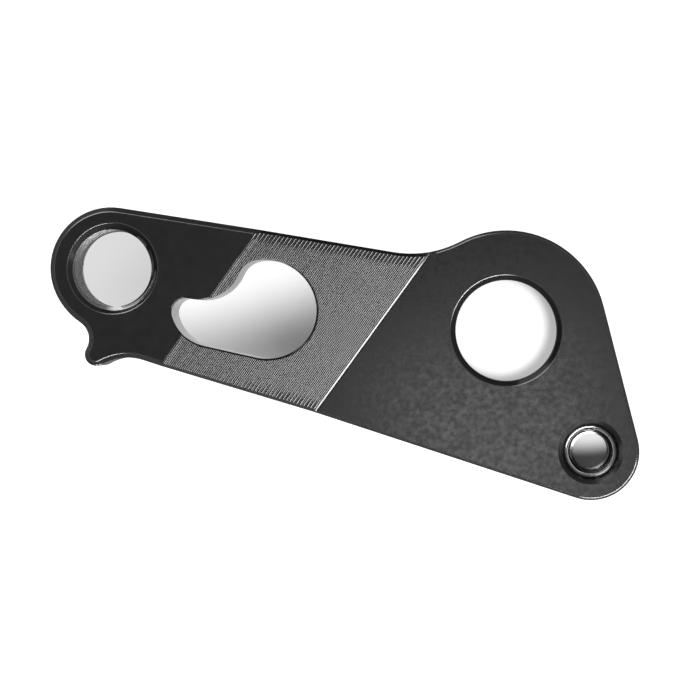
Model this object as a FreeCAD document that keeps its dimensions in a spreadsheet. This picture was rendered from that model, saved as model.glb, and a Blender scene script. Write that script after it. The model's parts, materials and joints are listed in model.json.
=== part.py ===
import FreeCAD, Part
import math
import os

import Sketcher
from FreeCAD import Placement, Rotation, Vector

# Direct mount derailleur hanger, machined from one aluminium plate and black anodised.
# A raised mounting face carries the derailleur bolt, a sloping ramp drops to the axle plate,
# and the axle plate is clamped to the frame by the wheel axle and one screw.
#
# Millimetres and degrees. The origin is on the axle bore's centre line, at the inboard face
# of the axle plate. +Z points outboard, +X runs from the derailleur bolt to the axle.

SIZES = [
    ("mount_spacing", 46.65, "derailleur bore to axle bore"),
    ("mount_thickness", 8.0, "plate round the derailleur bore"),
    ("axle_thickness", 7.0, "plate round the axle bore"),
    ("ramp_thickness", 6.8, "plate under the ramp, measured along Z"),
    ("face_drop", 9.5, "outboard mounting face down to outboard axle face"),
    ("ramp_turn", 27.0, "the ramp falls this far clockwise from +X"),
    ("mount_land", 11.2, "derailleur bore to the ramp's crest, along the fall"),
    ("axle_land", 12.85, "ramp's foot to the axle bore, along the fall"),
    ("end_radius", 7.15, "round end, and the straight upper edge above the axis"),
    ("end_offset", 0.25, "round end's centre beyond the derailleur bore"),
    ("cheek_radius", 8.3, "flatter round below the end"),
    ("cheek_angle", 34.6, "where the cheek takes over from the end, below -X"),
    ("hollow_radius", 2.3, "notch above the stop tooth"),
    ("tooth_radius", 1.35, "tip of the stop tooth"),
    ("tooth_offset", 0.4, "tip's centre beyond the derailleur bore"),
    ("throat_radius", 6.1, "hollow below the stop tooth"),
    ("throat_offset", 4.25, "that hollow's centre, inwards from the derailleur bore"),
    ("underside_slope", 9.06, "straight lower edge, falling towards the axle"),
    ("axle_radius", 12.0, "lobe round the axle bore"),
    ("neck_radius", 13.0, "hollow between the upper edge and the lobe"),
    ("screw_across", 12.25, "axle bore to fixing screw along X"),
    ("screw_down", 12.75, "axle bore to fixing screw, down along Y"),
    ("screw_radius", 5.8, "corner round the fixing screw"),
    ("bowl_across", 18.24, "derailleur bore to the window's large round end along X"),
    ("bowl_down", 1.96, "derailleur bore to that round end, down along Y"),
    ("bowl_radius", 5.82, "large round end of the window"),
    ("brow_bearing", 106.0, "where the upper corner leaves the round end, from +X"),
    ("brow_radius", 2.75, "upper corner of the window"),
    ("floor_slope", 4.4, "straight lower side, falling towards the axle"),
    ("chin_radius", 5.0, "lower corner beside the nose"),
    ("nose_across", 9.32, "derailleur bore to the window's nose along X"),
    ("nose_rise", 3.35, "nose above the straight lower side"),
    ("nose_radius", 1.68, "nose of the window"),
    ("swell_radius", 5.0, "land that swells into the window"),
    ("mount_bore_radius", 4.5, "core of the M10x1 derailleur thread"),
    ("mount_bore_chamfer", 0.85, "lead-in at both mouths of that thread"),
    ("axle_bore_radius", 6.15, "clearance round a 12 mm axle"),
    ("axle_bore_chamfer", 0.55, "outboard mouth of the axle bore"),
    ("screw_bore_radius", 2.15, "core of the M5x0.8 fixing screw thread"),
    ("screw_lead", 0.55, "lead-in from the recess into that thread"),
    ("recess_radius", 3.1, "recess over the fixing screw thread"),
    ("recess_depth", 1.6, "recess, from the outboard face to its floor"),
    ("recess_bevel", 0.8, "bevel round the mouth of the recess"),
    ("screw_back_chamfer", 0.4, "inboard mouth of the fixing screw hole"),
    ("mount_edge_chamfer", 0.55, "outboard edge round the mounting face"),
    ("ramp_edge_chamfer", 0.4, "outboard edges beside the ramp"),
    ("axle_edge_chamfer", 0.3, "outboard edge round the axle plate"),
    ("back_edge_chamfer", 0.3, "inboard edges of the outline"),
    ("window_edge_radius", 0.22, "deburred rims of the window"),
    ("overrun", 10.0, "how far a cutting profile reaches past the plate"),
]

doc = FreeCAD.newDocument("derailleur_hanger")
sheet = doc.addObject("Spreadsheet::Sheet", "Sizes")
for row, (alias, amount, meaning) in enumerate(SIZES, start=1):
    sheet.set(f"A{row}", meaning)
    sheet.set(f"B{row}", str(amount))
    sheet.setAlias(f"B{row}", alias)
doc.recompute()

# Heights and lengths that follow from the driving sizes, as expressions for the sheet
MOUNT_FACE = "(Sizes.axle_thickness + Sizes.face_drop)"
MOUNT_BACK = f"({MOUNT_FACE} - Sizes.mount_thickness)"
CREST = "(Sizes.mount_land - Sizes.mount_spacing * cos(Sizes.ramp_turn * 1 deg))"
FOOT = "(-Sizes.axle_land)"
GRADIENT = f"(Sizes.face_drop / ({FOOT} - {CREST}))"
BACK_CREST = f"({CREST} + (Sizes.mount_thickness - Sizes.ramp_thickness) / {GRADIENT})"
BACK_FOOT = f"({CREST} + ({MOUNT_FACE} - Sizes.ramp_thickness) / {GRADIENT})"
MOUNT_X = "(-Sizes.mount_spacing)"
FLAT_TOLERANCE = 1e-4


def number(expression):
    """The plain value of a sheet expression."""
    result = sheet.evalExpression(expression)
    return float(getattr(result, "Value", result))


def sketch_on(body, role, name):
    """A sketch laid on one of the body's own origin planes."""
    plane = next(item for item in body.Origin.OriginFeatures if item.Role == role)
    sketch = body.newObject("Sketcher::SketchObject", name)
    sketch.AttachmentSupport = [(plane, "")]
    sketch.MapMode = "FlatFace"
    return sketch


def bind(sketch, constraint, expression):
    """Add a constraint whose size is worked out from the sheet."""
    index = sketch.addConstraint(constraint)
    sketch.setExpression(f"Constraints[{index}]", expression)


def hold_point(sketch, curve, end, x, y):
    """Tie a point of a sketch to sheet expressions, along either axis or both."""
    if x is not None:
        bind(sketch, Sketcher.Constraint("DistanceX", -1, 1, curve, end, number(x)), x)
    if y is not None:
        bind(sketch, Sketcher.Constraint("DistanceY", -1, 1, curve, end, number(y)), y)


def polygon(sketch, corners):
    """A closed outline of straight runs with each corner tied to the sheet."""
    points = [Vector(number(x), number(y), 0) for x, y in corners]
    lines = []
    for start, stop in zip(points, points[1:] + points[:1]):
        lines.append(sketch.addGeometry(Part.LineSegment(start, stop), False))
    for line, following in zip(lines, lines[1:] + lines[:1]):
        sketch.addConstraint(Sketcher.Constraint("Coincident", line, 2, following, 1))
    for line, (x, y) in zip(lines, corners):
        hold_point(sketch, line, 1, x, y)


class Round:
    """One arc of an outline that is followed anticlockwise.

    Its centre is a pair of sheet expressions that hold it, or starting numbers
    where its neighbours hold it. A hollow arc bends the other way.
    """

    def __init__(self, x, y, radius, hollow=False, run_after=False):
        self.held = (x if isinstance(x, str) else None, y if isinstance(y, str) else None)
        self.centre = Vector(*(number(c) if isinstance(c, str) else c for c in (x, y)), 0)
        self.radius = radius
        self.hollow = hollow
        self.run_after = run_after

    def reach(self):
        """Radius, counted as negative on a hollow arc."""
        return -number(self.radius) if self.hollow else number(self.radius)


def rounds_outline(sketch, rounds):
    """Draw arcs joined smoothly, straight runs between them where asked for."""
    leaving = []
    arriving = []
    for here, there in zip(rounds, rounds[1:] + rounds[:1]):
        across = there.centre - here.centre
        swing = (here.reach() - there.reach()) / across.Length
        bearing = math.atan2(across.y, across.x) - math.acos(max(-1.0, min(1.0, swing)))
        outward = Vector(math.cos(bearing), math.sin(bearing), 0)
        leaving.append(here.centre + outward * here.reach())
        arriving.append(there.centre + outward * there.reach())
    arriving = arriving[-1:] + arriving[:-1]

    chain = []
    for index, arc in enumerate(rounds):
        ends = [arriving[index], leaving[index]]
        if arc.hollow:
            ends.reverse()
        angles = [math.atan2(end.y - arc.centre.y, end.x - arc.centre.x) for end in ends]
        if angles[1] < angles[0]:
            angles[1] += 2 * math.pi
        circle = Part.Circle(arc.centre, Vector(0, 0, 1), number(arc.radius))
        curve = sketch.addGeometry(Part.ArcOfCircle(circle, *angles), False)
        chain.append((curve, 2, 1) if arc.hollow else (curve, 1, 2))
        if arc.run_after:
            following = arriving[(index + 1) % len(rounds)]
            line = sketch.addGeometry(Part.LineSegment(leaving[index], following), False)
            chain.append((line, 1, 2))
            arc.run = line
        arc.curve = curve
    for (curve, _, last), (after, first, _) in zip(chain, chain[1:] + chain[:1]):
        sketch.addConstraint(Sketcher.Constraint("Tangent", curve, last, after, first))
    for arc in rounds:
        bind(sketch, Sketcher.Constraint("Radius", arc.curve, number(arc.radius)), arc.radius)
        hold_point(sketch, arc.curve, 3, *arc.held)


def touching(first, first_gap, second, second_gap, side):
    """Centre that lies at the given gaps from two others, on one side of their line."""
    across = second - first
    span = across.Length
    along = (first_gap ** 2 - second_gap ** 2 + span ** 2) / (2 * span)
    aside = math.sqrt(first_gap ** 2 - along ** 2) * side
    unit = across / span
    return first + unit * along + Vector(-unit.y, unit.x, 0) * aside


def level_with(anchor, gap, normal, level, side):
    """Point at a gap from an anchor and at a level along a normal, on one side of it."""
    lift = level - anchor.dot(normal)
    aside = math.sqrt(gap ** 2 - lift ** 2) * side
    return anchor + normal * lift + Vector(-normal.y, normal.x, 0) * aside


def outline_rounds():
    """The plate's outline, anticlockwise from the end round the derailleur bore."""
    end = Round("-(Sizes.mount_spacing + Sizes.end_offset)", "0", "Sizes.end_radius")
    cheek_x = (
        "-(Sizes.mount_spacing + Sizes.end_offset)"
        " + (Sizes.cheek_radius - Sizes.end_radius) * cos(Sizes.cheek_angle * 1 deg)"
    )
    cheek_y = number("(Sizes.cheek_radius - Sizes.end_radius) * sin(Sizes.cheek_angle * 1 deg)")
    cheek = Round(cheek_x, cheek_y, "Sizes.cheek_radius")
    corner = Round("Sizes.screw_across", "-Sizes.screw_down", "Sizes.screw_radius", run_after=True)
    lobe = Round("0", "0", "Sizes.axle_radius")

    slope = math.radians(number("Sizes.underside_slope"))
    below = Vector(-math.sin(slope), -math.cos(slope), 0)
    throat_x = "-Sizes.mount_spacing + Sizes.throat_offset"
    throat_level = corner.centre.dot(below) + number("Sizes.screw_radius + Sizes.throat_radius")
    throat_y = (throat_level - number(throat_x) * below.x) / below.y
    throat = Round(throat_x, throat_y, "Sizes.throat_radius", hollow=True, run_after=True)

    tooth_x = "-(Sizes.mount_spacing + Sizes.tooth_offset)"
    tooth_gap = number("Sizes.throat_radius + Sizes.tooth_radius")
    tooth_at = level_with(throat.centre, tooth_gap, Vector(1, 0, 0), number(tooth_x), 1)
    tooth = Round(tooth_x, tooth_at.y, "Sizes.tooth_radius")

    cheek_gap = number("Sizes.cheek_radius + Sizes.hollow_radius")
    tip_gap = number("Sizes.tooth_radius + Sizes.hollow_radius")
    hollow_at = touching(cheek.centre, cheek_gap, tooth.centre, tip_gap, -1)
    hollow = Round(hollow_at.x, hollow_at.y, "Sizes.hollow_radius", hollow=True)

    neck_gap = number("Sizes.axle_radius + Sizes.neck_radius")
    neck_level = number("Sizes.end_radius + Sizes.neck_radius")
    neck_at = level_with(lobe.centre, neck_gap, Vector(0, 1, 0), neck_level, 1)
    neck = Round(neck_at.x, neck_at.y, "Sizes.neck_radius", hollow=True, run_after=True)
    return [end, cheek, hollow, tooth, throat, corner, lobe, neck]


def window_rounds():
    """The lightening window's outline, anticlockwise from its large round end."""
    bowl = Round(f"{MOUNT_X} + Sizes.bowl_across", "-Sizes.bowl_down", "Sizes.bowl_radius")
    step = "(Sizes.bowl_radius - Sizes.brow_radius)"
    brow_x = f"{MOUNT_X} + Sizes.bowl_across + {step} * cos(Sizes.brow_bearing * 1 deg)"
    brow_y = number(f"-Sizes.bowl_down + {step} * sin(Sizes.brow_bearing * 1 deg)")
    brow = Round(brow_x, brow_y, "Sizes.brow_radius")

    slope = math.radians(number("Sizes.floor_slope"))
    below = Vector(-math.sin(slope), -math.cos(slope), 0)
    floor_level = bowl.centre.dot(below) + number("Sizes.bowl_radius")
    nose_x = f"{MOUNT_X} + Sizes.nose_across"
    nose_y = (floor_level - number("Sizes.nose_rise") - number(nose_x) * below.x) / below.y
    nose = Round(nose_x, nose_y, "Sizes.nose_radius")

    chin_gap = number("Sizes.chin_radius - Sizes.nose_radius")
    chin_level = floor_level - number("Sizes.chin_radius")
    chin_at = level_with(nose.centre, chin_gap, below, chin_level, 1)
    chin = Round(chin_at.x, chin_at.y, "Sizes.chin_radius", run_after=True)

    nose_gap = number("Sizes.nose_radius + Sizes.swell_radius")
    brow_gap = number("Sizes.brow_radius + Sizes.swell_radius")
    swell_at = touching(nose.centre, nose_gap, brow.centre, brow_gap, 1)
    swell = Round(swell_at.x, swell_at.y, "Sizes.swell_radius", hollow=True)
    return [bowl, brow, swell, nose, chin]


def cut_through(body, name, profile):
    """Pocket a profile through the whole plate, both ways from its plane."""
    pocket = body.newObject("PartDesign::Pocket", name)
    pocket.Profile = profile
    pocket.SideType = "Symmetric"
    pocket.Type = "ThroughAll"
    return pocket


def ramp_relief(body, name, corners):
    """Mill away what a profile across the ramp covers, along the ramp's level lines."""
    sketch = sketch_on(body, "XZ_Plane", f"{name}_profile")
    sketch.AttachmentOffset = Placement(Vector(0, 0, 0), Rotation(Vector(0, -1, 0), 1.0))
    sketch.setExpression("AttachmentOffset.Rotation.Angle", "Sizes.ramp_turn * 1 deg")
    polygon(sketch, corners)
    return cut_through(body, name, sketch)


def turned_hole(body, name, x, y, corners):
    """Turn a half profile of radius and height about an upright axis at x, y."""
    sketch = sketch_on(body, "XZ_Plane", f"{name}_profile")
    sketch.setExpression("AttachmentOffset.Base.x", x)
    sketch.setExpression("AttachmentOffset.Base.z", f"-({y})")
    polygon(sketch, corners)
    groove = body.newObject("PartDesign::Groove", name)
    groove.Profile = sketch
    groove.ReferenceAxis = (sketch, ["V_Axis"])
    groove.Angle = 360
    return groove


def plain_hole(bottom, top, radius, chamfer, both_mouths):
    """Half profile of a bore, bevelled at both mouths or at the outboard one alone."""
    low = f"{bottom} - Sizes.overrun"
    high = f"{top} + Sizes.overrun"
    mouth = f"{radius} + {chamfer}"
    if both_mouths:
        inboard = [("0", low), (mouth, low), (mouth, bottom), (radius, f"{bottom} + {chamfer}")]
    else:
        inboard = [("0", low), (radius, low)]
    outboard = [(radius, f"{top} - {chamfer}"), (mouth, top), (mouth, high), ("0", high)]
    return inboard + outboard


def recessed_hole():
    """Half profile of the fixing screw's thread with its bevelled outboard recess."""
    top = "Sizes.axle_thickness"
    floor = "Sizes.axle_thickness - Sizes.recess_depth"
    back = "Sizes.screw_bore_radius + Sizes.screw_back_chamfer"
    mouth = "Sizes.recess_radius + Sizes.recess_bevel"
    return [
        ("0", "-Sizes.overrun"),
        (back, "-Sizes.overrun"),
        (back, "0"),
        ("Sizes.screw_bore_radius", "Sizes.screw_back_chamfer"),
        ("Sizes.screw_bore_radius", f"{floor} - Sizes.screw_lead"),
        ("Sizes.screw_bore_radius + Sizes.screw_lead", floor),
        ("Sizes.recess_radius", floor),
        ("Sizes.recess_radius", f"{top} - Sizes.recess_bevel"),
        (mouth, top),
        (mouth, f"{top} + Sizes.overrun"),
        ("0", f"{top} + Sizes.overrun"),
    ]


# Each side of the plate: where its ramp starts and stops along the fall, and its two heights
SIDES = {
    "front": [number(e) for e in (CREST, FOOT, MOUNT_FACE, "Sizes.axle_thickness")],
    "back": [number(e) for e in (BACK_CREST, BACK_FOOT, MOUNT_BACK, "0")],
}


def along_fall(point):
    """Distance of a point from the axle bore, down the fall of the ramp."""
    turn = math.radians(number("Sizes.ramp_turn"))
    return point.x * math.cos(turn) - point.y * math.sin(turn)


def surface_height(side, point):
    """Height of one side of the plate over a point."""
    crest, foot, high, low = SIDES[side]
    share = (along_fall(point) - crest) / (foot - crest)
    return high + (low - high) * max(0.0, min(1.0, share))


def rim_edges(solid, rim, side, zones=("mount", "ramp", "axle")):
    """Names of the sharp edges that one rim has on one side, in some zones of the fall."""
    crest, foot, _, _ = SIDES[side]
    names = []
    for index, edge in enumerate(solid.Edges, start=1):
        points = edge.discretize(5)
        level = all(abs(p.z - surface_height(side, p)) < FLAT_TOLERANCE for p in points)
        if not level:
            continue
        plan = [Part.Vertex(p.x, p.y, 0) for p in points]
        if any(point.distToShape(rim)[0] > FLAT_TOLERANCE for point in plan):
            continue
        middle = along_fall(points[2])
        zone = "mount" if middle < crest else "ramp" if middle < foot else "axle"
        if zone in zones:
            names.append(f"Edge{index}")
    return names


def ease(body, kind, name, edges, size_property, size):
    """Bevel or round the named edges of the body's last feature."""
    base = body.Tip
    feature = body.newObject(kind, name)
    feature.Base = (base, edges)
    feature.setExpression(size_property, size)
    doc.recompute()
    return feature


def make_hanger():
    """The whole hanger as one body, in the order it is machined."""
    body = doc.addObject("PartDesign::Body", "hanger")
    body.Label = "hanger"
    body.Placement = Placement()

    outline = sketch_on(body, "XY_Plane", "outline")
    rounds = outline_rounds()
    rounds_outline(outline, rounds)
    throat, neck = rounds[4], rounds[7]
    slope = -number("Sizes.underside_slope")
    angle = Sketcher.Constraint("Angle", throat.run, math.radians(slope))
    bind(outline, angle, "-Sizes.underside_slope * 1 deg")
    outline.addConstraint(Sketcher.Constraint("Horizontal", neck.run))
    blank = body.newObject("PartDesign::Pad", "blank")
    blank.Profile = outline
    blank.setExpression("Length", MOUNT_FACE)

    far = "Sizes.screw_across + Sizes.screw_down + Sizes.screw_radius + Sizes.overrun"
    near = "-(Sizes.mount_spacing + Sizes.end_radius + Sizes.cheek_radius + Sizes.overrun)"
    cuts = [
        ramp_relief(body, "outboard_relief", [
            (CREST, MOUNT_FACE),
            (FOOT, "Sizes.axle_thickness"),
            (far, "Sizes.axle_thickness"),
            (far, f"{MOUNT_FACE} + Sizes.overrun"),
            (CREST, f"{MOUNT_FACE} + Sizes.overrun"),
        ]),
        ramp_relief(body, "inboard_relief", [
            (BACK_CREST, MOUNT_BACK),
            (near, MOUNT_BACK),
            (near, "-Sizes.overrun"),
            (BACK_FOOT, "-Sizes.overrun"),
            (BACK_FOOT, "0"),
        ]),
    ]

    window = sketch_on(body, "XY_Plane", "window_outline")
    rounds = window_rounds()
    rounds_outline(window, rounds)
    nose, chin = rounds[3], rounds[4]
    slope = -number("Sizes.floor_slope")
    angle = Sketcher.Constraint("Angle", chin.run, math.radians(slope))
    bind(window, angle, "-Sizes.floor_slope * 1 deg")
    rise = Sketcher.Constraint("Distance", nose.curve, 3, chin.run, number("Sizes.nose_rise"))
    bind(window, rise, "Sizes.nose_rise")
    cuts.append(cut_through(body, "window", window))

    cuts.append(turned_hole(body, "derailleur_bore", MOUNT_X, "0", plain_hole(
        MOUNT_BACK, MOUNT_FACE, "Sizes.mount_bore_radius", "Sizes.mount_bore_chamfer", True,
    )))
    cuts.append(turned_hole(body, "axle_bore", "0", "0", plain_hole(
        "0", "Sizes.axle_thickness", "Sizes.axle_bore_radius", "Sizes.axle_bore_chamfer", False,
    )))
    cuts.append(turned_hole(
        body, "screw_bore", "Sizes.screw_across", "-Sizes.screw_down", recessed_hole(),
    ))
    doc.recompute()

    # Beside the hollow line where plate and ramp meet, the last edge to be bevelled is the one
    # that closes the corner
    bevels = [
        ("back", "axle", "Sizes.back_edge_chamfer"),
        ("back", "mount", "Sizes.back_edge_chamfer"),
        ("back", "ramp", "Sizes.back_edge_chamfer"),
        ("front", "mount", "Sizes.mount_edge_chamfer"),
        ("front", "ramp", "Sizes.ramp_edge_chamfer"),
        ("front", "axle", "Sizes.axle_edge_chamfer"),
    ]
    for side, zone, size in bevels:
        edges = rim_edges(body.Tip.Shape, outline.Shape, side, [zone])
        name = f"outline_{side}_{zone}"
        cuts.append(ease(body, "PartDesign::Chamfer", name, edges, "Size", size))
    for side in ("back", "front"):
        edges = rim_edges(body.Tip.Shape, window.Shape, side)
        name = f"window_{side}"
        radius = "Sizes.window_edge_radius"
        cuts.append(ease(body, "PartDesign::Fillet", name, edges, "Radius", radius))

    left = blank.Shape.Volume
    for cut in cuts:
        if not cut.Shape.Volume < left:
            raise RuntimeError(f"{cut.Name} took nothing off")
        left = cut.Shape.Volume
    return body


parts = [make_hanger()]
doc.recompute()

failed = [item.Name for item in doc.Objects if {"Invalid", "Error"} & set(item.State)]
if failed:
    raise RuntimeError(f"failed features: {failed}")
for part in parts:
    if part.Shape.isNull() or not part.Shape.isValid():
        raise RuntimeError(f"{part.Label} has no valid shape")

os.makedirs("parts", exist_ok=True)
for part in parts:
    part.Shape.exportStep(os.path.join("parts", f"{part.Label}.step"))
    print(part.Label, "volume", round(part.Shape.Volume, 1), "box", part.Shape.BoundBox)
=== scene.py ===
import json
import math

import bpy
from mathutils import Euler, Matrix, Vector, noise

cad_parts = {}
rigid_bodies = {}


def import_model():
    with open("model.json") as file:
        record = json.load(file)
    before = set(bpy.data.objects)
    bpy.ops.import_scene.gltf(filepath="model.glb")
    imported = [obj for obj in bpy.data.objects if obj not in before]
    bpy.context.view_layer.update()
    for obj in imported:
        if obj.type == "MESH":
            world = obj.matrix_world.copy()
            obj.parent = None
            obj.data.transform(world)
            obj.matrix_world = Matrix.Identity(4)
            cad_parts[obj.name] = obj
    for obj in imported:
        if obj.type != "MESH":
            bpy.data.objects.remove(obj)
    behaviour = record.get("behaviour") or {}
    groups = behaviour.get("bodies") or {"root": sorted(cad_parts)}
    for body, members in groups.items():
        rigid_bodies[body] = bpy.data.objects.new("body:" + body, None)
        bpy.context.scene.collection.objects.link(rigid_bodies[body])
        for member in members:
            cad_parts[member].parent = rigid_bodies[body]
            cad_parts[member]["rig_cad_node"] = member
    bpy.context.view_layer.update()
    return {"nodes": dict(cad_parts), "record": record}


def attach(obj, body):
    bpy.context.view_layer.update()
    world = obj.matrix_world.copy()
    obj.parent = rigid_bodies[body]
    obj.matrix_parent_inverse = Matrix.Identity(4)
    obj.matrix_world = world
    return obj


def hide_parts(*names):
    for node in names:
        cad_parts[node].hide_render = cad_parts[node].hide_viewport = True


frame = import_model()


# The blank: one aluminium plate, milled to its outline, to a raised mounting face, a lower axle
# face and a ramp between the two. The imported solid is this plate, so the visible one starts as
# a copy of it, its loose triangles joined and its flat faces made whole.
MM = 0.001
WELD = 0.01 * MM
FLAT_ANGLE = math.radians(0.4)


def work_on(piece, mode="OBJECT"):
    """Select and activate one piece alone, in the given mode."""
    if bpy.context.object is not None and bpy.context.object.mode != "OBJECT":
        bpy.ops.object.mode_set(mode="OBJECT")
    bpy.ops.object.select_all(action="DESELECT")
    piece.select_set(True)
    bpy.context.view_layer.objects.active = piece
    bpy.ops.object.mode_set(mode=mode)


plate = frame["nodes"]["hanger"].copy()
plate.data = plate.data.copy()
plate.name = "milled_hanger"
plate.data.name = "milled_hanger"
bpy.context.scene.collection.objects.link(plate)
del plate["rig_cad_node"]
work_on(plate, "EDIT")
bpy.ops.mesh.select_all(action="SELECT")
bpy.ops.mesh.remove_doubles(threshold=WELD)
bpy.ops.mesh.dissolve_limited(angle_limit=FLAT_ANGLE)
bpy.ops.object.mode_set(mode="OBJECT")

# The finish: the whole plate is anodised near black. Each face keeps the texture that its tool
# left under the colour: the two end faces satin, the ramp fine-grained between its passes, and
# the threads and the rubbed edges almost bare. The ramp's groove faces are painted: lighter and
# shinier where they turn to the key lamp, a painted highlight, and darker elsewhere, a painted shade.
BLACK = (0.011, 0.011, 0.0115)
CLOUD_DETAIL = 4
PIT_DETAIL = 2
CLOUD_LOW, CLOUD_HIGH = 0.3, 0.7
SHEEN_SHARE = 0.5


def grey(level):
    """A neutral colour of one level."""
    return (level, level, level)


def anodised(name, colour, roughness, mottle, mottle_size, grain, grain_size, metal=0.0, ior=1.62):
    """Near-black anodised aluminium with mottled sheen and a fine grain."""
    material = bpy.data.materials.new(name)
    material.use_nodes = True
    nodes = material.node_tree.nodes
    links = material.node_tree.links
    shader = nodes["Principled BSDF"]
    shader.inputs["IOR"].default_value = ior
    shader.inputs["Metallic"].default_value = metal
    place = nodes.new("ShaderNodeTexCoord").outputs["Object"]
    cloud = nodes.new("ShaderNodeTexNoise")
    cloud.inputs["Scale"].default_value = 1 / mottle_size
    cloud.inputs["Detail"].default_value = CLOUD_DETAIL
    links.new(place, cloud.inputs["Vector"])
    tint = nodes.new("ShaderNodeMix")
    tint.data_type = "RGBA"
    tint.inputs["A"].default_value = (*(c * (1 - mottle) for c in colour), 1)
    tint.inputs["B"].default_value = (*(c * (1 + mottle) for c in colour), 1)
    links.new(cloud.outputs["Fac"], tint.inputs["Factor"])
    links.new(tint.outputs["Result"], shader.inputs["Base Color"])
    sheen = nodes.new("ShaderNodeMapRange")
    sheen.inputs["From Min"].default_value = CLOUD_LOW
    sheen.inputs["From Max"].default_value = CLOUD_HIGH
    sheen.inputs["To Min"].default_value = roughness * (1 - mottle * SHEEN_SHARE)
    sheen.inputs["To Max"].default_value = roughness * (1 + mottle * SHEEN_SHARE)
    links.new(cloud.outputs["Fac"], sheen.inputs["Value"])
    links.new(sheen.outputs["Result"], shader.inputs["Roughness"])
    pits = nodes.new("ShaderNodeTexNoise")
    pits.inputs["Scale"].default_value = 1 / grain_size
    pits.inputs["Detail"].default_value = PIT_DETAIL
    links.new(place, pits.inputs["Vector"])
    bump = nodes.new("ShaderNodeBump")
    bump.inputs["Distance"].default_value = grain
    links.new(pits.outputs["Fac"], bump.inputs["Height"])
    links.new(bump.outputs["Normal"], shader.inputs["Normal"])
    return material


finishes = {
    "wall": anodised(
        "anodised_wall", BLACK, roughness=0.3,
        mottle=0.2, mottle_size=1.5 * MM, grain=0.002 * MM, grain_size=0.12 * MM),
    "mounting_face": anodised(
        "anodised_mounting_face", BLACK, roughness=0.2,
        mottle=0.35, mottle_size=1.2 * MM, grain=0.0016 * MM, grain_size=0.25 * MM),
    # The ramp's finish comes in two copies: a darker one for groove faces turned from the key lamp,
    # painted shade, and a lighter, shinier one for those turned to it, painted highlight.
    "ramp": anodised(
        "milled_ramp_painted_shade", grey(0.006), roughness=0.13, ior=1.35,
        mottle=0.25, mottle_size=0.6 * MM, grain=0.0006 * MM, grain_size=0.08 * MM),
    "lit_flank": anodised(
        "groove_flank_painted_highlight", grey(0.072), roughness=0.13, ior=1.47,
        mottle=0.3, mottle_size=0.6 * MM, grain=0.0006 * MM, grain_size=0.08 * MM),
    "axle_face": anodised(
        "anodised_axle_face", grey(0.012), roughness=0.17,
        mottle=0.6, mottle_size=0.6 * MM, grain=0.0026 * MM, grain_size=0.25 * MM),
    "lip": anodised(
        "burnished_lip", grey(0.02), roughness=0.18, ior=1.95,
        mottle=0.25, mottle_size=0.6 * MM, grain=0.0004 * MM, grain_size=0.08 * MM),
    "bevel": anodised(
        "anodised_brushed_bevel", BLACK, roughness=0.14,
        mottle=0.2, mottle_size=1 * MM, grain=0.0006 * MM, grain_size=0.08 * MM),
    "edge": anodised(
        "rubbed_edge", grey(0.24), roughness=0.2, metal=1.0,
        mottle=0.3, mottle_size=0.8 * MM, grain=0.0004 * MM, grain_size=0.08 * MM),
    "corner": anodised(
        "worn_recess_corner", grey(0.5), roughness=0.2, metal=1.0,
        mottle=0.2, mottle_size=0.8 * MM, grain=0.0004 * MM, grain_size=0.08 * MM),
    "mouth": anodised(
        "worn_recess_mouth", grey(0.12), roughness=0.3, metal=1.0,
        mottle=0.2, mottle_size=0.8 * MM, grain=0.0006 * MM, grain_size=0.08 * MM),
    "thread": anodised(
        "thinly_anodised_thread", grey(0.42), roughness=0.22, metal=1.0,
        mottle=0.3, mottle_size=0.5 * MM, grain=0.0006 * MM, grain_size=0.08 * MM),
}
names = list(finishes)
plate.data.materials.clear()
for material in finishes.values():
    plate.data.materials.append(material)

# The ramp's milling passes: a ball-nosed cutter has run along the ramp's level lines, a fifth
# of a millimetre apart, and left a shallow groove each time. Near the ends of the passes, where
# it turned round, two grooves run into one. The last pass leaves a steep lip and a thin sunk
# line at the foot.
RAMP_TURN = math.radians(27)
CREST = -30.366 * MM
FOOT = -12.85 * MM
BACK_CREST = -28.153 * MM
BACK_FOOT = -12.481 * MM
NEAR_FOLD = 0.2 * MM
CUT_THRESHOLD = 1e-7
MOUNT_FACE = 16.5 * MM
AXLE_FACE = 7.0 * MM
PASS_WIDTH = 0.2 * MM
RIDGE = 0.0105 * MM
# Groove faces tilted more than this down the fall, towards the key lamp, get the lighter copy of the
# ramp's finish: a painted highlight.
LIT_FLANK_TILT = math.radians(29.5)
DOUBLE_DEPTH = 2
RIDGE_WANDER = 0.3
WANDER_LENGTH = 2.2 * MM
WANDER_PASSES = 0.8
ENTRY_PASSES = 4
ENTRY_EXTRA = 0.9
POINTS_PER_PASS = 4
PASS_DIGITS = 6
PAST_CREST = 0.003 * MM
UPPER_TURN = 0.11
LOWER_TURN = 0.12
LIP = 0.18 * MM
LIP_SLOPE = math.radians(34)
FOOT_DIP = 0.08 * MM
DIP_RISE = 0.1 * MM
PASS_OVERRUN = 0.5 * MM
UPPER_EDGE = 7.15 * MM
LOWER_EDGE = 16.46 * MM
LOWER_SLOPE = math.radians(9.06)
STRIPS = 30
GRID_HALF = 0.5
OVER = 1.0 * MM
SWEEP_HEIGHT = 12 * MM
fall = Vector((math.cos(RAMP_TURN), -math.sin(RAMP_TURN), 0))
level = Vector((math.sin(RAMP_TURN), math.cos(RAMP_TURN), 0))
folds = (CREST, FOOT, BACK_CREST, BACK_FOOT)
for fold in folds:
    for side in (-NEAR_FOLD, NEAR_FOLD):
        work_on(plate, "EDIT")
        bpy.ops.mesh.select_all(action="SELECT")
        bpy.ops.mesh.bisect(plane_co=fall * (fold + side), plane_no=fall, threshold=CUT_THRESHOLD)
bpy.ops.object.mode_set(mode="OBJECT")
slope = math.atan2(MOUNT_FACE - AXLE_FACE, FOOT - CREST)
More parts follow.
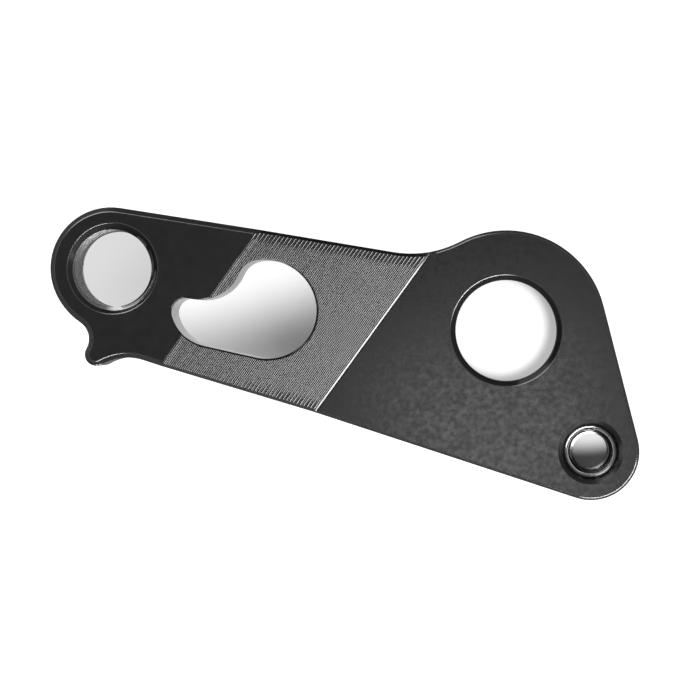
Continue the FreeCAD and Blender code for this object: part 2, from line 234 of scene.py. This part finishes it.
lip_start = FOOT - (LIP * math.tan(LIP_SLOPE) - FOOT_DIP) / math.tan(slope)
lip_end = lip_start + LIP
dip_end = lip_end + DIP_RISE
step = PASS_WIDTH / POINTS_PER_PASS
first = CREST + PAST_CREST
stations = [CREST - OVER]
stations += [first + i * step for i in range(math.ceil((lip_start - CREST) / step))]
stations += [lip_start, lip_end, dip_end, dip_end + OVER]


def scoop(share):
    """Depth of a round groove at a share of its width, where its deepest point is 1."""
    return 1 - (2 * share - 1) ** 2


def grooved(passes, share_across, across):
    """Depth of the cutter's groove at a place among the passes."""
    down = passes * PASS_WIDTH / (FOOT - CREST)
    upper = 1 - (1 - share_across) / UPPER_TURN
    lower = (1 - share_across / LOWER_TURN) * down
    turning = max(0.0, upper, lower)
    narrow = scoop(passes % 1)
    wide = DOUBLE_DEPTH * scoop(passes / 2 % 1)
    groove = RIDGE * ((1 - turning) * narrow + turning * wide)
    row = Vector((math.floor(passes) * WANDER_PASSES, across / WANDER_LENGTH, 0))
    entry = 1 + ENTRY_EXTRA * max(0.0, 1 - passes / ENTRY_PASSES)
    return groove * entry * (1 + RIDGE_WANDER * noise.noise(row))


def milled_height(along, share_across, across):
    """Height of the milled surface, down the fall and at a share of a pass's length."""
    if along <= first:
        return MOUNT_FACE + (first - along)
    if along >= lip_end:
        return AXLE_FACE - FOOT_DIP + (along - lip_end) * FOOT_DIP / DIP_RISE
    if along > lip_start:
        return AXLE_FACE - FOOT_DIP + (lip_end - along) * math.tan(LIP_SLOPE)
    smooth = MOUNT_FACE - (along - CREST) * math.tan(slope)
    passes = (along - first) / PASS_WIDTH
    return smooth - grooved(round(passes, PASS_DIGITS), share_across, across)


def milled_ends(along):
    """Where a pass starts and stops along its level line, just past the plate's two edges."""
    top = (UPPER_EDGE + along * math.sin(RAMP_TURN)) / math.cos(RAMP_TURN)
    lean = RAMP_TURN - LOWER_SLOPE
    bottom = (along * math.sin(lean) - LOWER_EDGE) / math.cos(lean)
    return bottom - PASS_OVERRUN, top + PASS_OVERRUN


def cut_away(tool):
    """Take a closed tool's shape out of the plate, and the tool out of the scene."""
    work_on(plate)
    cut = plate.modifiers.new("cut", "BOOLEAN")
    cut.operation = "DIFFERENCE"
    cut.solver = "EXACT"
    cut.object = tool
    bpy.ops.object.modifier_apply(modifier=cut.name)
    bpy.data.objects.remove(tool)


columns = len(stations) - 1
bpy.ops.object.select_all(action="DESELECT")
bpy.ops.mesh.primitive_grid_add(x_subdivisions=columns, y_subdivisions=STRIPS, size=2 * GRID_HALF)
sweep = bpy.context.object
for vertex in sweep.data.vertices:
    along = stations[round((vertex.co.x + GRID_HALF) * columns)]
    share = vertex.co.y + GRID_HALF
    bottom, top = milled_ends(along)
    across = bottom + share * (top - bottom)
    height = milled_height(along, share, across)
    vertex.co = fall * along + level * across + Vector((0, 0, height))
work_on(sweep, "EDIT")
bpy.ops.mesh.select_all(action="SELECT")
bpy.ops.mesh.extrude_region_move(TRANSFORM_OT_translate={"value": (0, 0, SWEEP_HEIGHT)})
bpy.ops.mesh.select_all(action="SELECT")
bpy.ops.mesh.quads_convert_to_tris()
bpy.ops.mesh.normals_make_consistent(inside=False)
bpy.ops.object.mode_set(mode="OBJECT")
cut_away(sweep)

# The tapped holes: the derailleur bolt's fine thread in the raised end and the fixing screw's
# thread below its recess. A tap's one long groove, rolled from its cross-section, is cut out of
# each core wall, and runs out in the bevelled mouths as a real one does.
mounts = {mount["name"]: mount for mount in frame["record"]["mounts"]}
HALF_THREAD_ANGLE = math.radians(30)
TAP_STEPS = 96
ROOT_FLAT = 1 / 8
INSIDE_CORE = 1 / 10
TURN_WELD = 1 / 1000


def tap(name, pitch, nominal, low, high):
    """Cut a right-hand thread into a threaded mount's core wall, between two heights."""
    x, y, _ = mounts[name]["pos_m"]
    root = nominal / 2
    inside = mounts[name]["dims"]["r_mm"] * MM - pitch * INSIDE_CORE
    half_root = pitch * ROOT_FLAT / 2
    half_mouth = half_root + (root - inside) * math.tan(HALF_THREAD_ANGLE)
    section = [(inside, -half_mouth), (root, -half_root), (root, half_root), (inside, half_mouth)]
    work_on(plate)
    bpy.ops.mesh.primitive_circle_add(vertices=len(section), radius=pitch)
    groove = bpy.context.object
    for vertex, (reach, height) in zip(groove.data.vertices, section):
        vertex.co = (reach, 0, height)
    roll = groove.modifiers.new("roll", "SCREW")
    roll.screw_offset = pitch
    roll.iterations = math.ceil((high - low) / pitch)
    roll.steps = TAP_STEPS
    roll.render_steps = TAP_STEPS
    bpy.ops.object.modifier_apply(modifier=roll.name)
    work_on(groove, "EDIT")
    bpy.ops.mesh.select_all(action="SELECT")
    bpy.ops.mesh.remove_doubles(threshold=pitch * TURN_WELD)
    bpy.ops.mesh.fill_holes(sides=len(section))
    bpy.ops.mesh.select_all(action="SELECT")
    bpy.ops.mesh.normals_make_consistent(inside=False)
    bpy.ops.transform.translate(value=(x, y, low))
    cut_away(groove)


tap("derailleur_bolt", pitch=1.0 * MM, nominal=10 * MM, low=7.2 * MM, high=17.8 * MM)
tap("fixing_screw", pitch=0.8 * MM, nominal=5 * MM, low=-0.9 * MM, high=6.2 * MM)

# The broken edges: after milling, the bevels round the outline and the mouths of the holes are
# brushed, which rounds the line where each bevel meets a flat face and rubs it almost bare. The
# ramp's own edges are left as milled. The fixing screw's recess has a rounded corner at its
# floor, as its end mill had.
BRUSHED = 0.07 * MM
BRUSH_SEGMENTS = 3
LEAST_TURN = math.radians(32)
FLATTEST = 0.85
WINDOW_REACH = ((-39.5 * MM, -21 * MM), (-9 * MM, 5 * MM))
THREAD_REACH = 0.55 * MM
CLOSE = 0.02 * MM
MOUTH_REACH = THREAD_REACH - 2 * CLOSE
RECESS_RADIUS = 3.1 * MM
RECESS_FLOOR = 5.4 * MM
RECESS_CORNER = 0.32 * MM
RECESS_MOUTH = 4.2 * MM
CORNER_SEGMENTS = 6
screw_x, screw_y, _ = mounts["fixing_screw"]["pos_m"]


def faces_by_edge(mesh):
    """The faces on either side of each edge, by the edge's two vertex numbers."""
    found = {}
    for face in mesh.polygons:
        for key in face.edge_keys:
            found.setdefault(key, []).append(face)
    return found


def within_thread(place, spare):
    """True inside the reach of one of the two threads."""
    for name in ("derailleur_bolt", "fixing_screw"):
        x, y, _ = mounts[name]["pos_m"]
        reach = math.hypot(place.x - x, place.y - y)
        if reach < mounts[name]["dims"]["r_mm"] * MM + spare:
            return True
    return False


def in_recess_corner(edge):
    """True for the edges where the recess's wall meets its floor."""
    for i in edge.vertices:
        at = plate.data.vertices[i].co
        reach = math.hypot(at.x - screw_x, at.y - screw_y)
        if abs(reach - RECESS_RADIUS) > CLOSE or abs(at.z - RECESS_FLOOR) > CLOSE:
            return False
    return True


def select_in_edit(piece, kind, wanted):
    """Enter edit mode with only those faces, edges or vertices selected that a test accepts."""
    work_on(piece)
    mesh = piece.data
    for items in (mesh.vertices, mesh.edges, mesh.polygons):
        for item in items:
            item.select = False
    bpy.context.tool_settings.mesh_select_mode = (kind == "VERT", kind == "EDGE", kind == "FACE")
    items = {"VERT": mesh.vertices, "EDGE": mesh.edges, "FACE": mesh.polygons}[kind]
    for item in items:
        item.select = wanted(item)
    bpy.ops.object.mode_set(mode="EDIT")


meeting = faces_by_edge(plate.data)


def brushed(edge):
    """True where a bevel or a mouth leaves one of the plate's flat faces."""
    one, other = meeting[edge.key]
    start, stop = (plate.data.vertices[i].co for i in edge.vertices)
    middle = (start + stop) / 2
    along = middle.dot(fall)
    if all(low < at < high for at, (low, high) in zip(middle, WINDOW_REACH)):
        return False
    if any(abs(along - fold) < NEAR_FOLD + CUT_THRESHOLD for fold in folds):
        return False
    if CREST < along < FOOT and max(one.normal.z, other.normal.z) > CUT_THRESHOLD:
        return False
    if within_thread(middle, MOUTH_REACH) or in_recess_corner(edge):
        return False
    from_screw = math.hypot(middle.x - screw_x, middle.y - screw_y)
    if from_screw < RECESS_MOUTH and middle.z > RECESS_FLOOR:
        return False
    flat = max(abs(one.normal.z), abs(other.normal.z))
    return one.normal.angle(other.normal) > LEAST_TURN and flat > FLATTEST


select_in_edit(plate, "EDGE", brushed)
bpy.ops.mesh.bevel(
    offset=BRUSHED, segments=BRUSH_SEGMENTS, affect="EDGES", clamp_overlap=False,
    material=names.index("edge"))
bpy.ops.object.mode_set(mode="OBJECT")
select_in_edit(plate, "EDGE", in_recess_corner)
bpy.ops.mesh.bevel(
    offset=RECESS_CORNER, segments=CORNER_SEGMENTS, affect="EDGES", clamp_overlap=False,
    material=names.index("corner"))
bpy.ops.object.mode_set(mode="OBJECT")

# The faces: each one gets the finish of the tool that made it, except the ramp's groove faces,
# which get a lighter copy where they turn to the key lamp, a painted highlight, and a darker one
# elsewhere, a painted shade. The shading is smooth round the curves and sharp along the ridges of
# the ramp and round its borders.
ZONE_GAP = 0.05 * MM
MID_PASS = 0.5
LEVEL = 0.995
STEEP = 0.3
CHAMFER = (0.6, 0.8)
CURVE_ANGLE = math.radians(20)
RIDGE_ANGLE = math.radians(7)
BORDERED = {"mounting_face", "axle_face", "ramp", "lit_flank", "lip", "edge", "corner"}


def zone(face):
    """Which finish a face of the plate has, by where it lies and which way it looks."""
    centre, normal = face.center, face.normal
    along = centre.dot(fall)
    if normal.z > LEVEL and abs(centre.z - MOUNT_FACE) < ZONE_GAP:
        return "mounting_face"
    if normal.z > LEVEL and abs(centre.z - AXLE_FACE) < ZONE_GAP and along > FOOT:
        return "axle_face"
    if names[face.material_index] in ("edge", "corner"):
        return names[face.material_index]
    if lip_start < along < lip_end and normal.z > CHAMFER[0] and centre.z < AXLE_FACE + LIP:
        return "lip"
    if CREST < along < dip_end and normal.z > CHAMFER[0]:
        if abs(centre.z - milled_height(along, MID_PASS, 0)) < ZONE_GAP:
            # Painted highlight and shade: groove faces turned to the key lamp get the lighter copy,
            # the others the darker one.
            return "lit_flank" if normal.dot(fall) > math.sin(LIT_FLANK_TILT) else "ramp"
    chamfered = CHAMFER[0] < abs(normal.z) < CHAMFER[1]
    if within_thread(centre, THREAD_REACH) and not chamfered:
        return "thread"
    if not STEEP < normal.z < LEVEL:
        return "wall"
    from_screw = math.hypot(centre.x - screw_x, centre.y - screw_y)
    return "mouth" if from_screw < RECESS_MOUTH else "bevel"


mesh = plate.data
for face in mesh.polygons:
    face.material_index = names.index(zone(face))
work_on(plate)
bpy.ops.object.shade_smooth_by_angle(angle=CURVE_ANGLE)
meeting = faces_by_edge(mesh)
for edge in mesh.edges:
    one, other = meeting[edge.key]
    found = {names[one.material_index], names[other.material_index]}
    grooved_pair = found <= {"ramp", "lit_flank"}
    ridge = grooved_pair and one.normal.angle(other.normal) > RIDGE_ANGLE
    border = len(found) == 2 and not grooved_pair and found & BORDERED
    if ridge or border:
        edge.use_edge_sharp = True
even = plate.modifiers.new("even", "WEIGHTED_NORMAL")
even.keep_sharp = True
bpy.ops.object.modifier_apply(modifier=even.name)
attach(plate, "root")
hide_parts("hanger")

# The floor: a small sheet of white paper, lit so that it reads as white round the plate. Inside
# each opening, drawn as discs in millimetres, its glow to the camera is lowered to a painted shade,
# which goes from one level to another with the distance from a point where the light is taken to
# get in. A patch round the window glows only in reflections: a painted reflection.
FLOOR_SIZE = 3.0
FLOOR_DROP = 0.02 * MM
PAPER = (0.6, 0.6, 0.6, 1)
OPEN_GLOW = 0.95
# Painted reflection: a floor patch round the window that glows only for mirror rays.
REFLECTION_PATCH_MIDDLE = (-31 * MM, -3 * MM)
REFLECTION_PATCH_GLOW = 1.0
REFLECTION_PATCH_REACH = 11 * MM
REFLECTION_PATCH_FADE = 3 * MM
SHADE_SOFTNESS = 0.8 * MM
FARTHEST = 1.0
OPENING_PAINTED_SHADES = {
    "derailleur_bolt": {
        "discs": [(-48.8, 0.0, 5.6)], "source": (-54, 35),
        "near": {"reach": 30, "level": 0.39}, "far": {"reach": 40, "level": 0.33}},
    "window": {
        "discs": [(-29.6, -2.2, 6.6), (-34.5, -4.4, 3.9), (-38.6, -5.0, 2.9)], "source": (-44.3, 31.8),
        "near": {"reach": 32.6, "level": 0.86}, "far": {"reach": 42.1, "level": 0.14}},
    "axle": {
        "discs": [(0, 0, 6.9)], "source": (-1.07, 0.34),
        "near": {"reach": 5.2, "level": 0.98}, "far": {"reach": 6.7, "level": 0.38}},
    "fixing_screw": {
        "discs": [(12.6, -13.0, 3.3)], "source": (9.0, 3.3),
        "near": {"reach": 14.7, "level": 0.79}, "far": {"reach": 17.4, "level": 0.02}},
}
bpy.ops.object.select_all(action="DESELECT")
bpy.ops.mesh.primitive_plane_add(size=FLOOR_SIZE, location=(0, 0, -FLOOR_DROP))
floor = bpy.context.object
floor.name = "floor"
paper = bpy.data.materials.new("white_paper")
paper.use_nodes = True
nodes = paper.node_tree.nodes
links = paper.node_tree.links
nodes.remove(nodes["Principled BSDF"])
lit = nodes.new("ShaderNodeBsdfDiffuse")
lit.inputs["Color"].default_value = PAPER
place = nodes.new("ShaderNodeTexCoord").outputs["Object"]


def maths(kind, one, other):
    """One arithmetic node of the floor's material, fed by sockets or plain numbers."""
    node = nodes.new("ShaderNodeMath")
    node.operation = kind
    for socket, value in zip(node.inputs, (one, other)):
        if isinstance(value, (int, float)):
            socket.default_value = value
        else:
            links.new(value, socket)
    return node.outputs["Value"]


def fade_between(value, low, high, at_low=1, at_high=0):
    """A smooth change from one value to another as a socket goes from low to high."""
    node = nodes.new("ShaderNodeMapRange")
    node.interpolation_type = "SMOOTHSTEP"
    node.inputs["From Min"].default_value = low
    node.inputs["From Max"].default_value = high
    node.inputs["To Min"].default_value = at_low
    node.inputs["To Max"].default_value = at_high
    links.new(value, node.inputs["Value"])
    return node.outputs["Result"]


def away_from(point):
    """Distance from a point on the floor."""
    node = nodes.new("ShaderNodeVectorMath")
    node.operation = "DISTANCE"
    links.new(place, node.inputs[0])
    node.inputs[1].default_value = (*point, 0)
    return node.outputs["Value"]


# Painted shade: the glow seen by the camera is lowered inside each opening's discs.
seen = OPEN_GLOW
for opening in OPENING_PAINTED_SHADES.values():
    nearest = FARTHEST
    for x, y, radius in opening["discs"]:
        away = maths("SUBTRACT", away_from((x * MM, y * MM)), radius * MM)
        nearest = maths("MINIMUM", away, nearest)
    inside = fade_between(nearest, -SHADE_SOFTNESS / 2, SHADE_SOFTNESS / 2)
    reach = away_from([c * MM for c in opening["source"]])
    near = opening["near"]
    far = opening["far"]
    painted_shade = fade_between(
        reach, near["reach"] * MM, far["reach"] * MM,
        near["level"] - OPEN_GLOW, far["level"] - OPEN_GLOW)
    seen = maths("ADD", seen, maths("MULTIPLY", inside, painted_shade))
path = nodes.new("ShaderNodeLightPath")
seen = maths("MULTIPLY", path.outputs["Is Camera Ray"], seen)
mirrored = maths("ADD", path.outputs["Is Glossy Ray"], path.outputs["Is Transmission Ray"])
# Painted reflection: the patch round the window glows for mirror rays only.
away = away_from(REFLECTION_PATCH_MIDDLE)
painted_reflection = fade_between(away, REFLECTION_PATCH_REACH - REFLECTION_PATCH_FADE, REFLECTION_PATCH_REACH + REFLECTION_PATCH_FADE, REFLECTION_PATCH_GLOW)
glow = nodes.new("ShaderNodeEmission")
links.new(maths("ADD", seen, maths("MULTIPLY", mirrored, painted_reflection)), glow.inputs["Strength"])
both = nodes.new("ShaderNodeAddShader")
links.new(lit.outputs["BSDF"], both.inputs[0])
links.new(glow.outputs["Emission"], both.inputs[1])
links.new(both.outputs["Shader"], nodes["Material Output"].inputs["Surface"])
floor.data.materials.append(paper)

# The light: one wide soft lamp low on the side that the ramp faces, two weak ones opposite it,
# one of them near the floor, and a small one high overhead, in a dim room.
AIM = Vector((-18 * MM, -2 * MM, 8 * MM))
LAMPS = [
    {"name": "key_lamp", "bearing": -46, "elevation": 24, "distance": 0.5,
     "width": 0.8, "height": 0.12, "radiance": 12.5},
    {"name": "fill_lamp", "bearing": 129, "elevation": 40, "distance": 0.6,
     "width": 0.35, "height": 0.42, "radiance": 1.7},
    {"name": "rim_lamp", "bearing": 159, "elevation": 5, "distance": 0.45,
     "width": 1.0, "height": 0.09, "radiance": 1.2},
    {"name": "ceiling_lamp", "bearing": -65, "elevation": 86.3, "distance": 1.0,
     "width": 0.11, "height": 0.11, "radiance": 2.6},
]
ROOM = (0.2, 0.2, 0.2, 1)
for wanted in LAMPS:
    bearing = math.radians(wanted["bearing"])
    elevation = math.radians(wanted["elevation"])
    towards = Vector((math.cos(bearing), math.sin(bearing), 0))
    ray = towards * math.cos(elevation) + Vector((0, 0, math.sin(elevation)))
    bpy.ops.object.light_add(type="AREA", location=AIM + ray * wanted["distance"])
    lamp = bpy.context.object
    lamp.name = wanted["name"]
    lamp.rotation_euler = ray.to_track_quat("Z", "Y").to_euler()
    lamp.data.shape = "RECTANGLE"
    lamp.data.size = wanted["width"]
    lamp.data.size_y = wanted["height"]
    lamp.data.energy = wanted["radiance"] * math.pi * wanted["width"] * wanted["height"]
world = bpy.data.worlds.new("room")
bpy.context.scene.world = world
world.use_nodes = True
world.node_tree.nodes["Background"].inputs["Color"].default_value = ROOM

# The camera: it looks almost straight down on the plate from about a third of a metre, with
# the long side of the plate turned a little from level.
CAMERA_PLACE = Vector((-1.487, 0.068, 338.5)) * MM
CAMERA_TURN = Euler([math.radians(a) for a in (-0.4557, 2.9801, 8.9711)])
LENS = 142.25
SENSOR = 36.0
bpy.ops.object.camera_add(location=CAMERA_PLACE, rotation=CAMERA_TURN)
camera = bpy.context.object
camera.data.lens = LENS
camera.data.sensor_width = SENSOR
bpy.context.scene.camera = camera
bpy.context.scene.view_settings.view_transform = "Standard"
